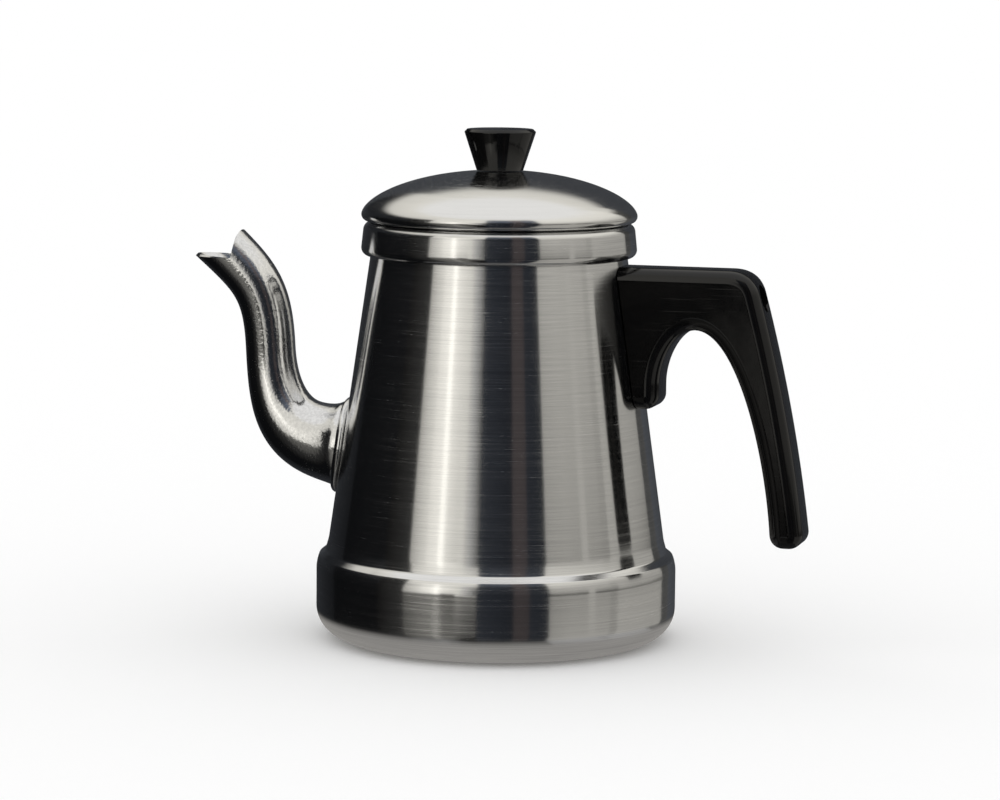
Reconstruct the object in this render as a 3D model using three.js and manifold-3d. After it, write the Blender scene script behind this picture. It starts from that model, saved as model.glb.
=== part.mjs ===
// Aluminium coffee pot: a spun body, a cast spout, a moulded handle and a lift-off lid.
// Millimetres, +Z up. The pot's axis is Z and it stands on z = 0, with the spout towards -X
// and the handle towards +X.
import * as THREE from "three";
import { mergeVertices } from "three/addons/utils/BufferGeometryUtils.js";
import Module from "manifold-3d";

const wasm = await Module();
wasm.setup();

// Facets
const turnSteps = 40; // round the body and the lid
const tubeSides = 16; // round the spout
const smallSides = 12; // round rivets and screws
const holeSides = 8; // round the strainer's holes and the flange's bead
const arcSteps = 3; // in a quarter round
const domeSteps = 7; // from the lid's edge to its seat for the knob
const elbowSteps = 7; // along the spout's elbow
const riserSteps = 7; // from there to its mouth
const handleSteps = 7; // in each curve of the handle's outline

// Clearances
const gap = 0.3; // between pieces that rest on each other
const skirtGap = 1.2; // from the lid's skirt to the mouth of the pot

// Body, spun from one sheet
const wall = 1.5;
const drumRadius = 75;
const drumTop = 28; // top of the straight drum wall
const baseCorner = 13; // radius of the corner under the drum
const shoulderHeight = 12;
const shoulderInset = 5; // from the drum in to the foot of the cone
const shoulderPull = 0.6; // share of its height along which the shoulder's curve keeps to each wall
const bodyHeight = 172.9; // to the top of the rim
const neckRadius = 53.2; // outside of the cone under the band
const bandHeight = 14;
const bandStep = 4.2; // from the cone out to the band
const bandFoot = 3.5; // radius of the band's lower edge
const rimRound = 3.5; // radius of the rim that curls inwards
const rimLip = 1; // level edge past the curl

// Spout, cast, with its places counted from the wall and from the middle of its root
const spoutHeight = 77; // middle of the root
const spoutWall = 2.3;
const rootRadius = 18.3; // outside of the tube at the wall
const riserRadius = 10.5; // outside of the upright stretch
const mouthRadius = 11.2; // outside of the mouth
const riserOut = 36.1; // middle of the upright stretch
const riserUp = 40.5;
const mouthOut = 63.2; // end of the centre line, past the cut mouth
const mouthUp = 89;
const notchOut = 50.2; // corner of the V cut in the mouth
const notchUp = 79.8;
const jawLean = 8; // how far the cut's upright side leans back, degrees
const elbowPull = 24; // length of the curve's level stretch at the wall
const riserPull = 28.5; // length of its upright stretch under the riser point
const leanPull = 23; // length of its upright stretch over it
const mouthPull = 25.6; // length of its slanted stretch under the mouth
const riserLean = 3.5; // angle of the upright stretch from upright, degrees
const mouthLean = 48.5; // angle of the mouth's axis from upright, degrees
const rootHold = 1.3; // over 1, the tube keeps its width further from the wall
const flangeRadius = 18.9; // middle of the flange's bead
const flangeThickness = 1.8;
const beadRadius = 1.7;
const neckOuter = 15.5; // the neck that passes through the wall
const neckBore = 12.5;

// Lock ring and strainer, on the inside of the wall
const lockRingRadius = 20;
const lockRingThickness = 2;
const stakedLip = 1.8; // how far the neck is staked out over the lock ring
const stakedThickness = 1.2;
const strainerRadius = 13.2;
const strainerThickness = 1.2;
const strainerHole = 1.5; // radius
const strainerPitch = 4.6;
const strainerRings = 2; // rings of holes round the middle one
const strainerFirst = 6; // holes in the first ring, twice as many in the second

// Handle, moulded, with its heights counted down from its top and its places out from the wall
const handleDrop = 2.4; // from the band down to the top of the handle
const handleThickness = 22;
const handleEdge = 5; // rounding along all its edges
const handleEndRound = 5.6; // corners at the ends of the leg and the grip
const barStraight = 43; // straight top of the bar
const cornerOut = 56.3; // outer end of the corner's curve
const cornerDrop = 9.2;
const crownOut = 30.1; // highest point of the arch
const crownDrop = 24.9;
const legOut = 15.2; // arch side of the leg
const legStraightDrop = 48.2; // where the arch meets the leg
const legLength = 58;
const gripLength = 112.7;
const gripEndOut = 76; // outer side of the grip's end
const gripEndWidth = 13.7;
const gripInnerLean = 4.2; // of the grip's inner side at its end, degrees from upright
const gripOuterLean = 7.2; // of its outer side
const archSteepness = 0.47; // share of the arch's height along which it keeps to the leg
const archFlatness = 0.56; // share of its reach along which it lies level at the crown
const gripFlatness = 0.36; // the same on the grip's side of the crown
const gripSteepness = 0.43; // share of the grip's height along which its inner side is straight
const cornerTuck = 0.3; // how far the outer corner's curve starts short of its end

// Handle fixing
const screwDrop = 11.5; // from the handle's top to the screw's axis
const accessRadius = 5.5; // hole in the outer corner that the screw goes in by
const seatOut = 42; // where the washer sits
const screwRadius = 2.5;
const screwHead = 4.4; // radius
const screwHeadHeight = 3.4;
const screwSlot = 1.2;
const screwReach = 4; // gap from the wall to the tip of the screw
const washerRadius = 5.1;
const washerThickness = 1;
const bracketWidth = 14;
const bracketThickness = 2.5;
const bracketBottom = 52.2; // below the handle's top
const bracketTop = 5.2; // below the handle's top
const bossRadius = 5;
const bossLength = 14;
const rivetRadius = 1.5;
const rivetHead = 2.7;
const rivetHeadHeight = 1.2;
const rivetDrops = [22.5, 45.5]; // below the handle's top
const rivetSpread = 7.6; // between the two rivets of a pair
const headFlat = 0.7; // flat middle of a domed head, as a share of its radius
const headEdge = 0.4; // upright edge of a domed head, as a share of its height

// Lid
const lidWall = 1.2;
const lidRadius = 57.1;
const domeHeight = 18.5; // over the widest line
const domeFullness = 0.62; // power that gives the dome its flat top and steep edge
const lidRoll = 2.7; // radius of the edge that is rolled under
const skirtLength = 11; // below the lid's edge
const skirtWall = 1.1;
const skirtTaper = 1; // drawn in at the lower end
const skirtFlange = 4.2; // held in the rolled edge

// Knob
const knobFoot = 9.6; // radius
const knobTop = 14.8; // radius
const knobHeight = 17.1;
const knobEdge = 1.2; // bevel round the top
const insertRadius = 4;
const insertLength = 9;
const insertFloor = 1; // closed end of the insert
const knobScrewRadius = 2;
const knobScrewHead = 3.8;
const knobScrewHeadHeight = 2.4;
const knobScrewLength = 9; // under the head
const knobWasherRadius = 5;
const knobWasherThickness = 0.8;
const lidLevelExtra = 1.6; // the dome's level seat runs this far past the knob

// Places that follow from the sizes above
const neckHeight = bodyHeight - bandHeight;
const coneFootHeight = drumTop + shoulderHeight;
const coneFootRadius = drumRadius - shoulderInset;
const coneSlope = (coneFootRadius - neckRadius) / (neckHeight - coneFootHeight);
const coneAngle = Math.atan(coneSlope);
const handleTop = neckHeight - handleDrop;
const screwHeight = handleTop - screwDrop;
const handleWall = coneRadiusAt(screwHeight);
const lidBottom = bodyHeight + gap;
const lidWidest = lidBottom + lidRoll;
const mouthOfPot = neckRadius + bandStep - rimRound - rimLip - coneSlope * (bandHeight - rimRound);
const skirtRadius = mouthOfPot - skirtGap;
const seatRadius = knobFoot + lidLevelExtra;
const seatHeight = domeTopAt(seatRadius);

// Radius of the cone's outside at a height
function coneRadiusAt(z) {
  return coneFootRadius - coneSlope * (z - coneFootHeight);
}

// Height of the dome's outside at a radius
function domeTopAt(r) {
  return lidWidest + domeHeight * (1 - (r / lidRadius) ** 2) ** domeFullness;
}

// A closed geometry as a manifold-3d solid
function solidFrom(geometry) {
  const bare = geometry.index ? geometry.toNonIndexed() : geometry.clone();
  bare.deleteAttribute("normal");
  bare.deleteAttribute("uv");
  const merged = mergeVertices(bare, 1e-4);
  const corners = merged.index.array;
  const kept = [];
  for (let i = 0; i < corners.length; i += 3) {
    const [a, b, c] = [corners[i], corners[i + 1], corners[i + 2]];
    if (a !== b && b !== c && c !== a) kept.push(a, b, c);
  }
  return new wasm.Manifold(
    new wasm.Mesh({
      numProp: 3,
      vertProperties: new Float32Array(merged.attributes.position.array),
      triVerts: new Uint32Array(kept),
    }),
  );
}

// A manifold-3d solid as a geometry with flat shading
function geometryFrom(solid) {
  const mesh = solid.getMesh();
  const places = new Float32Array(mesh.numVert * 3);
  for (let i = 0; i < mesh.numVert; i++) {
    const start = i * mesh.numProp;
    places.set(mesh.vertProperties.subarray(start, start + 3), i * 3);
  }
  const indexed = new THREE.BufferGeometry();
  indexed.setAttribute("position", new THREE.BufferAttribute(places, 3));
  indexed.setIndex(new THREE.BufferAttribute(new Uint32Array(mesh.triVerts), 1));
  const geometry = indexed.toNonIndexed();
  geometry.computeVertexNormals();
  return geometry;
}

const point = (r, z) => new THREE.Vector2(r, z);

// Points of an arc in a profile, angles in degrees from the outward direction
function arc(r, z, radius, from, to, steps = arcSteps) {
  const points = [];
  for (let i = 0; i <= steps; i++) {
    const angle = THREE.MathUtils.degToRad(from + ((to - from) * i) / steps);
    points.push(point(r + radius * Math.cos(angle), z + radius * Math.sin(angle)));
  }
  return points;
}

// A profile turned round the Z axis; it starts and ends on the axis or closes on itself
function turned(profile, steps = turnSteps) {
  const geometry = new THREE.LatheGeometry(profile, steps);
  geometry.rotateX(Math.PI / 2);
  return solidFrom(geometry);
}

// The profile moved to its left by a distance, corner by corner
function movedLeft(profile, distance) {
  const edges = profile.slice(1).map((p, i) => p.clone().sub(profile[i]).normalize());
  return profile.map((p, i) => {
    const before = edges[Math.max(i - 1, 0)];
    const after = edges[Math.min(i, edges.length - 1)];
    const shift = point(-before.y - after.y, before.x + after.x);
    return p.clone().addScaledVector(shift, distance / (1 + before.dot(after)));
  });
}

// A sheet of even thickness, on the left of its outer profile
function sheet(profile, thickness) {
  const inner = movedLeft(profile, thickness).reverse();
  return turned([...profile, ...inner, profile[0]]);
}

// A cylinder along Z from one height to another
function rod(radius, from, to, sides = smallSides) {
  return turned([point(0, from), point(radius, from), point(radius, to), point(0, to)], sides);
}

// A rod that lies along X
function rodAlongX(radius, from, to, height, sides = smallSides) {
  const geometry = new THREE.CylinderGeometry(radius, radius, to - from, sides);
  geometry.rotateZ(-Math.PI / 2);
  geometry.translate((from + to) / 2, 0, height);
  return solidFrom(geometry);
}

// A box between two corners
function block(low, high) {
  const geometry = new THREE.BoxGeometry(high[0] - low[0], high[1] - low[1], high[2] - low[2]);
  geometry.translate((low[0] + high[0]) / 2, (low[1] + high[1]) / 2, (low[2] + high[2]) / 2);
  return solidFrom(geometry);
}

// Everything within the cone's outside, moved out by a distance square to the wall
function withinCone(distance) {
  const extra = distance / Math.cos(coneAngle);
  const low = coneFootHeight;
  const high = neckHeight;
  return turned([
    point(0, low),
    point(coneRadiusAt(low) + extra, low),
    point(coneRadiusAt(high) + extra, high),
    point(0, high),
  ]);
}

// The layer outside the cone from one distance to another
function coneLayer(from, to) {
  return withinCone(to).subtract(withinCone(from));
}

// Moves a solid made round Z to a place on the wall, so that its Z axis points out of the wall.
// The side is 1 for the handle and -1 for the spout.
function onWall(solid, side, height, across = 0) {
  const out = new THREE.Vector3(side * Math.cos(coneAngle), 0, Math.sin(coneAngle));
  const sideways = new THREE.Vector3(0, 1, 0);
  const down = sideways.clone().cross(out);
  const place = new THREE.Matrix4().makeBasis(down, sideways, out);
  place.setPosition(side * Math.sqrt(coneRadiusAt(height) ** 2 - across ** 2), across, height);
  return solid.transform(place.elements);
}

// Rings of points joined into a skin; a closed skin joins its last ring to its first
function skinned(rings, closed = false) {
  const sides = rings[0].length;
  const places = rings.flat().flatMap((p) => [p.x, p.y, p.z]);
  const faces = [];
  const count = closed ? rings.length : rings.length - 1;
  for (let i = 0; i < count; i++) {
    const here = i * sides;
    const next = ((i + 1) % rings.length) * sides;
    for (let j = 0; j < sides; j++) {
      const k = (j + 1) % sides;
      faces.push(here + j, here + k, next + k, here + j, next + k, next + j);
    }
  }
  for (let j = 1; j < sides - 1 && !closed; j++) {
    const last = (rings.length - 1) * sides;
    faces.push(0, j + 1, j, last, last + j, last + j + 1);
  }
  const geometry = new THREE.BufferGeometry();
  geometry.setAttribute("position", new THREE.Float32BufferAttribute(places, 3));
  geometry.setIndex(faces);
  return solidFrom(geometry);
}

// A ring of points square to a direction that lies in the XZ plane
function ringAt(centre, direction, radius, sides = tubeSides) {
  const across = new THREE.Vector3(0, 1, 0);
  const other = across.clone().cross(direction).normalize();
  const ring = [];
  for (let j = 0; j < sides; j++) {
    const angle = (j / sides) * 2 * Math.PI;
    const place = centre.clone().addScaledVector(other, radius * Math.cos(angle));
    ring.push(place.addScaledVector(across, radius * Math.sin(angle)));
  }
  return ring;
}

// Outside of the body from the middle of the base to the lip of the rim
function bodyOutline() {
  const outline = [point(0, 0)];
  outline.push(...arc(drumRadius - baseCorner, baseCorner, baseCorner, -90, 0, arcSteps + 1));
  const pull = shoulderHeight * shoulderPull;
  const shoulder = new THREE.CubicBezierCurve(
    point(drumRadius, drumTop),
    point(drumRadius, drumTop + pull),
    point(coneFootRadius + coneSlope * pull, coneFootHeight - pull),
    point(coneFootRadius, coneFootHeight),
  );
  outline.push(...shoulder.getPoints(arcSteps + 1));
  outline.push(point(neckRadius, neckHeight));
  const bandRadius = neckRadius + bandStep;
  outline.push(...arc(bandRadius - bandFoot, neckHeight + bandFoot, bandFoot, -90, 0, 2));
  const rimStart = bodyHeight - rimRound;
  const rimRadius = bandRadius - coneSlope * (rimStart - neckHeight);
  outline.push(...arc(rimRadius - rimRound, rimStart, rimRound, 0, 90));
  outline.push(point(mouthOfPot, bodyHeight));
  return outline;
}

function makeBody() {
  const neckHole = onWall(rod(neckOuter + gap, -3 * baseCorner, baseCorner, tubeSides), -1, spoutHeight);
  let body = sheet(bodyOutline(), wall).subtract(neckHole);
  for (const rivet of rivetPlaces()) {
    const hole = rod(rivetRadius + gap, -3 * wall, 3 * wall);
    body = body.subtract(onWall(hole, 1, rivet.height, rivet.across));
  }
  return body;
}

// Centre line of the spout as two curves, from the wall to past the mouth
function spoutCurves() {
  const wallOut = coneRadiusAt(spoutHeight);
  const at = (out, up) => new THREE.Vector3(-wallOut - out, 0, spoutHeight + up);
  const lean = THREE.MathUtils.degToRad(mouthLean);
  const slant = Math.tan(THREE.MathUtils.degToRad(riserLean));
  const elbow = new THREE.CubicBezierCurve3(
    at(0, 0),
    at(elbowPull, 0),
    at(riserOut - riserPull * slant, riserUp - riserPull),
    at(riserOut, riserUp),
  );
  const riser = new THREE.CubicBezierCurve3(
    at(riserOut, riserUp),
    at(riserOut + leanPull * slant, riserUp + leanPull),
    at(mouthOut - mouthPull * Math.sin(lean), mouthUp - mouthPull * Math.cos(lean)),
    at(mouthOut, mouthUp),
  );
  return { elbow, riser };
}

// Rings of the spout's tube, drawn in by a distance
function spoutRings(inset) {
  const { elbow, riser } = spoutCurves();
  const insideWall = elbow.getPoint(0).addScaledVector(elbow.getTangent(0), -rootRadius);
  const rings = [ringAt(insideWall, elbow.getTangent(0), rootRadius - inset)];
  for (let i = 0; i <= elbowSteps; i++) {
    const t = i / elbowSteps;
    const narrowing = THREE.MathUtils.smoothstep(t ** rootHold, 0, 1);
    const radius = THREE.MathUtils.lerp(rootRadius, riserRadius, narrowing);
    rings.push(ringAt(elbow.getPoint(t), elbow.getTangent(t), radius - inset));
  }
  for (let i = 1; i <= riserSteps; i++) {
    const t = i / riserSteps;
    const radius = THREE.MathUtils.lerp(riserRadius, mouthRadius, t * t);
    rings.push(ringAt(riser.getPoint(t), riser.getTangent(t), radius - inset));
  }
  return rings;
}

// The bead on the flange's edge, which follows the wall round the root
function flangeBead() {
  const rings = [];
  const steps = 2 * tubeSides;
  const nudge = Math.PI / turnSteps;
  const onBead = (turn) => {
    const y = flangeRadius * Math.sin(turn);
    const z = spoutHeight + flangeRadius * Math.cos(turn);
    const r = coneRadiusAt(z) + gap + beadRadius;
    return new THREE.Vector3(-Math.sqrt(r * r - y * y), y, z);
  };
  for (let i = 0; i < steps; i++) {
    const turn = (i / steps) * 2 * Math.PI;
    const centre = onBead(turn);
    const along = onBead(turn + nudge).sub(onBead(turn - nudge)).normalize();
    const out = new THREE.Vector3(centre.x, centre.y, 0).normalize();
    const sideways = along.clone().cross(out).normalize();
    const outward = sideways.clone().cross(along);
    const ring = [];
    for (let j = 0; j < holeSides; j++) {
      const angle = (j / holeSides) * 2 * Math.PI;
      const place = centre.clone().addScaledVector(outward, beadRadius * Math.cos(angle));
      ring.push(place.addScaledVector(sideways, beadRadius * Math.sin(angle)));
    }
    rings.push(ring);
  }
  return skinned(rings, true);
}

function makeSpout() {
  const ahead = 2 * baseCorner;
  const behind = -lockRingRadius;
  const column = (radius) => onWall(rod(radius, behind, ahead, tubeSides), -1, spoutHeight);
  const lockBack = -wall - 2 * gap - lockRingThickness;
  const tube = skinned(spoutRings(0)).subtract(withinCone(gap));
  const flange = column(flangeRadius).intersect(coneLayer(gap, gap + flangeThickness));
  const neck = column(neckOuter).intersect(coneLayer(lockBack - stakedThickness, 2 * gap));
  const staked = column(neckOuter + stakedLip).intersect(
    coneLayer(lockBack - stakedThickness, lockBack),
  );
  const strainerSeat = rod(strainerRadius + gap, behind, gap, tubeSides);
  const neckChannel = rod(neckBore, behind, rootRadius / 2, tubeSides);
  return tube
    .add(flange)
    .add(flangeBead())
    .add(neck)
    .add(staked)
    .subtract(skinned(spoutRings(spoutWall)).subtract(withinCone(rootRadius / 3)))
    .subtract(onWall(neckChannel, -1, spoutHeight))
    .subtract(onWall(strainerSeat, -1, spoutHeight))
    .subtract(mouthNotch());
}

// What the V cut takes off the end of the tube, which leaves a long lower lip and a short upper jaw
function mouthNotch() {
  const corner = point(-coneRadiusAt(spoutHeight) - notchOut, spoutHeight + notchUp);
  const rise = 2 * mouthOut;
  const leanBack = rise * Math.tan(THREE.MathUtils.degToRad(jawLean));
  const outline = [
    corner,
    corner.clone().add(point(leanBack, rise)),
    corner.clone().add(point(-rise, rise)),
    corner.clone().add(point(-rise, 0)),
  ];
  const cut = new THREE.ExtrudeGeometry(new THREE.Shape(outline), {
    depth: 4 * mouthRadius,
    bevelEnabled: false,
  });
  cut.rotateX(Math.PI / 2);
  cut.translate(0, 2 * mouthRadius, 0);
  return solidFrom(cut);
}

function makeLockRing() {
  const reach = 2 * baseCorner;
  const column = (radius) => onWall(rod(radius, -reach, reach, tubeSides), -1, spoutHeight);
  const front = -wall - gap;
  return column(lockRingRadius)
    .intersect(coneLayer(front - lockRingThickness, front))
    .subtract(column(neckOuter + gap));
}

function makeStrainer() {
  let disc = rod(strainerRadius, -strainerThickness, 0, tubeSides);
  const hole = rod(strainerHole, -2 * strainerThickness, strainerThickness, holeSides);
  disc = disc.subtract(hole);
  for (let ring = 1; ring <= strainerRings; ring++) {
    const count = strainerFirst * ring;
    for (let i = 0; i < count; i++) {
      const turn = (i / count) * 2 * Math.PI;
      const away = ring * strainerPitch;
      disc = disc.subtract(hole.translate([away * Math.cos(turn), away * Math.sin(turn), 0]));
    }
  }
  return onWall(disc, -1, spoutHeight);
}

// Side outline of the handle, which runs on through the wall and is cut to it later
function handleOutline() {
  const at = (out, drop) => [handleWall + out, handleTop - drop];
  const inside = -handleWall / 2;
  const round = handleEndRound;
  const shape = new THREE.Shape();
  shape.moveTo(...at(inside, 0));
  shape.lineTo(...at(inside, legLength));
  const [legX, legZ] = at(legOut - round, legLength - round);
  shape.absarc(legX, legZ, round, -Math.PI / 2, 0);
  shape.lineTo(...at(legOut, legStraightDrop));
  const archHeight = legStraightDrop - crownDrop;
  const archReach = crownOut - legOut;
  shape.bezierCurveTo(
    ...at(legOut, legStraightDrop - archHeight * archSteepness),
    ...at(crownOut - archReach * archFlatness, crownDrop),
    ...at(crownOut, crownDrop),
  );
  const gripTurn = gripLength - round;
  const innerLean = THREE.MathUtils.degToRad(gripInnerLean);
  const outerLean = THREE.MathUtils.degToRad(gripOuterLean);
  const [innerX, endZ] = at(gripEndOut - gripEndWidth + round, gripTurn);
  const outerX = handleWall + gripEndOut - round;
  const innerStart = [innerX - round * Math.cos(innerLean), endZ - round * Math.sin(innerLean)];
  const gripRise = (gripTurn - crownDrop) * gripSteepness;
  shape.bezierCurveTo(
    ...at(crownOut + (gripEndOut - crownOut) * gripFlatness, crownDrop),
    innerStart[0] - gripRise * Math.sin(innerLean),
    innerStart[1] + gripRise * Math.cos(innerLean),
    ...innerStart,
  );
  shape.absarc(innerX, endZ, round, Math.PI + innerLean, 1.5 * Math.PI);
  shape.absarc(outerX, endZ, round, 1.5 * Math.PI, 2 * Math.PI + outerLean);
  const bowLength = (gripTurn - cornerDrop) / 2;
  shape.quadraticCurveTo(
    outerX + round * Math.cos(outerLean) - bowLength * Math.tan(outerLean),
    endZ + round * Math.sin(outerLean) + bowLength,
    ...at(cornerOut, cornerDrop),
  );
  shape.quadraticCurveTo(...at(cornerOut - cornerDrop * cornerTuck, 0), ...at(barStraight, 0));
  const points = shape.getPoints(handleSteps);
  const apart = points.filter((p, i) => i === 0 || p.distanceTo(points[i - 1]) > gap / 10);
  return new THREE.Shape(apart);
}

function makeHandle() {
  const moulded = new THREE.ExtrudeGeometry(handleOutline(), {
    depth: handleThickness - 2 * handleEdge,
    bevelThickness: handleEdge,
    bevelSize: handleEdge,
    bevelOffset: -handleEdge,
    bevelSegments: 2,
  });
  moulded.rotateX(Math.PI / 2);
  moulded.translate(0, handleThickness / 2 - handleEdge, 0);
  const pocketDepth = bracketThickness + rivetHeadHeight + 4 * gap;
  const pocket = bracketBlock(gap).intersect(withinCone(pocketDepth));
  const boss = rodAlongX(bossRadius + gap, 0, handleWall + bossLength + gap, screwHeight);
  const shankHole = rodAlongX(screwRadius + gap, 0, handleWall + gripLength, screwHeight);
  const access = rodAlongX(
    accessRadius,
    handleWall + seatOut,
    handleWall + gripLength,
    screwHeight,
    tubeSides,
  );
  return solidFrom(moulded)
    .subtract(withinCone(gap))
    .subtract(pocket)
    .subtract(boss)
    .subtract(shankHole)
    .subtract(access);
}

// The block that the bracket's plate is cut from, grown by a clearance
function bracketBlock(grow) {
  const half = bracketWidth / 2 + grow;
  const low = [handleWall / 2, -half, handleTop - bracketBottom - grow];
  const high = [2 * handleWall, half, handleTop - bracketTop + grow];
  return block(low, high);
}

function makeBracket() {
  const plate = bracketBlock(0).intersect(coneLayer(gap, gap + bracketThickness));
  const boss = rodAlongX(bossRadius, 0, handleWall + bossLength, screwHeight);
  const bore = rodAlongX(screwRadius + gap, 0, handleWall + 2 * bossLength, screwHeight);
  let bracket = plate.add(boss.subtract(withinCone(gap))).subtract(bore);
  for (const rivet of rivetPlaces()) {
    const hole = rod(rivetRadius + gap, -bracketThickness, 3 * bracketThickness);
    bracket = bracket.subtract(onWall(hole, 1, rivet.height, rivet.across));
  }
  return bracket;
}

function rivetPlaces() {
  const sides = [-rivetSpread / 2, rivetSpread / 2];
  return rivetDrops.flatMap((drop) =>
    sides.map((across) => ({ height: handleTop - drop, across })),
  );
}

// Profile of a domed head that hangs under a height; a negative height stands it on top
function domedHead(radius, height, under) {
  return [
    point(0, under - height),
    point(radius * headFlat, under - height),
    point(radius, under - height * headEdge),
    point(radius, under),
  ];
}

// A rivet with one head on the bracket and the other inside the pot
function makeRivet(place) {
  const edge = Math.abs(place.across) + rivetHead;
  const radius = coneRadiusAt(place.height);
  const fallAway = radius - Math.sqrt(radius * radius - edge * edge);
  const outer = gap + bracketThickness + gap;
  const inner = -wall - fallAway - gap;
  const profile = [
    ...domedHead(rivetHead, rivetHeadHeight, inner),
    point(rivetRadius, inner),
    point(rivetRadius, outer),
    ...domedHead(rivetHead, -rivetHeadHeight, outer).reverse(),
  ];
  return onWall(turned(profile, smallSides), 1, place.height, place.across);
}

function makeHandleScrew() {
  const seat = handleWall + seatOut + gap + washerThickness + gap;
  const tip = handleWall + screwReach;
  const head = rodAlongX(screwHead, seat, seat + screwHeadHeight, screwHeight);
  const shank = rodAlongX(screwRadius, tip, seat + screwHeadHeight / 2, screwHeight);
  const slotLow = seat + screwHeadHeight / 2;
  const slot = block(
    [slotLow, -screwSlot / 2, screwHeight - 2 * screwHead],
    [slotLow + screwHeadHeight, screwSlot / 2, screwHeight + 2 * screwHead],
  );
  return head.add(shank).subtract(slot);
}

function makeHandleWasher() {
  const from = handleWall + seatOut + gap;
  const disc = rodAlongX(washerRadius, from, from + washerThickness, screwHeight);
  const hole = rodAlongX(screwRadius + gap, 0, 2 * from, screwHeight);
  return disc.subtract(hole);
}

// Outside of the lid from its rolled edge to the middle of the dome
function lidOutline() {
  const outline = arc(lidRadius - lidRoll, lidWidest, lidRoll, -90, -20);
  const seatTurn = Math.acos(seatRadius / lidRadius);
  for (let i = 0; i <= domeSteps; i++) {
    const r = lidRadius * Math.cos((seatTurn * i) / domeSteps);
    outline.push(point(r, domeTopAt(r)));
  }
  outline.push(point(0, seatHeight));
  return outline;
}

function makeLid() {
  const screwHole = rod(knobScrewRadius + gap, lidBottom, 2 * lidBottom);
  return sheet(lidOutline(), lidWall).subtract(screwHole);
}

function makeSkirt() {
  const top = lidBottom + lidWall + gap + skirtWall;
  const bottom = lidBottom - skirtLength;
  const outer = skirtRadius;
  return turned([
    point(outer - skirtTaper, bottom),
    point(outer, bottom + 3 * skirtTaper),
    point(outer, top - skirtWall),
    point(outer + skirtFlange, top - skirtWall),
    point(outer + skirtFlange, top),
    point(outer - skirtWall, top),
    point(outer - skirtWall, bottom + 3 * skirtTaper),
    point(outer - skirtTaper - skirtWall, bottom),
    point(outer - skirtTaper, bottom),
  ]);
}

function makeKnob() {
  const foot = seatHeight + gap;
  const top = foot + knobHeight;
  const profile = [
    point(0, foot),
    point(knobFoot, foot),
    point(knobTop, top - knobEdge),
    point(knobTop - knobEdge, top),
    point(0, top),
  ];
  const socket = rod(insertRadius + gap, foot - gap, foot + insertLength + 2 * gap);
  return turned(profile).subtract(socket);
}

function makeKnobInsert() {
  const foot = seatHeight + gap;
  const from = foot + gap;
  const bore = rod(knobScrewRadius + gap, foot - insertLength, from + insertLength - insertFloor);
  return rod(insertRadius, from, from + insertLength).subtract(bore);
}

function makeKnobScrew() {
  const under = seatHeight - lidWall - 2 * gap - knobWasherThickness;
  const profile = [
    ...domedHead(knobScrewHead, knobScrewHeadHeight, under),
    point(knobScrewRadius, under),
    point(knobScrewRadius, under + knobScrewLength),
    point(0, under + knobScrewLength),
  ];
  const slotTop = under - knobScrewHeadHeight / 2;
  const slot = block(
    [-2 * knobScrewHead, -screwSlot / 2, under - 2 * knobScrewHeadHeight],
    [2 * knobScrewHead, screwSlot / 2, slotTop],
  );
  return turned(profile, smallSides).subtract(slot);
}

function makeKnobWasher() {
  const top = seatHeight - lidWall - gap;
  const hole = rod(knobScrewRadius + gap, top - 2 * knobWasherThickness, top + gap);
  return rod(knobWasherRadius, top - knobWasherThickness, top).subtract(hole);
}

const spunAluminium = { color: 0xb9bbbe, roughness: 0.3, metalness: 1 };
const castAluminium = { color: 0x9fa1a5, roughness: 0.38, metalness: 1 };
const bakelite = { color: 0x0b0b0c, roughness: 0.22, metalness: 0 };
const steel = { color: 0x8e9196, roughness: 0.35, metalness: 1 };
const brass = { color: 0xb08d45, roughness: 0.35, metalness: 1 };

// A named mesh in its own material
function piece(name, solid, look) {
  const mesh = new THREE.Mesh(geometryFrom(solid), new THREE.MeshStandardMaterial(look));
  mesh.name = name;
  return mesh;
}

const pot = new THREE.Group();
pot.add(
  piece("body_shell", makeBody(), spunAluminium),
  piece("spout", makeSpout(), castAluminium),
  piece("spout_lock_ring", makeLockRing(), castAluminium),
  piece("spout_strainer", makeStrainer(), spunAluminium),
  piece("handle", makeHandle(), bakelite),
  piece("handle_bracket", makeBracket(), castAluminium),
  piece("handle_screw", makeHandleScrew(), steel),
  piece("handle_washer", makeHandleWasher(), steel),
);
rivetPlaces().forEach((place, i) => {
  pot.add(piece(`handle_rivet_${i + 1}`, makeRivet(place), spunAluminium));
});

const lid = new THREE.Group();
lid.add(
  piece("lid_dome", makeLid(), spunAluminium),
  piece("lid_skirt", makeSkirt(), spunAluminium),
  piece("knob", makeKnob(), bakelite),
  piece("knob_insert", makeKnobInsert(), brass),
  piece("knob_screw", makeKnobScrew(), steel),
  piece("knob_washer", makeKnobWasher(), steel),
);

const group = new THREE.Group();
group.add(pot, lid);

export default group;
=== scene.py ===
import math

import bmesh
import bpy
from mathutils import Matrix, Vector
from mathutils.geometry import interpolate_bezier


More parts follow.
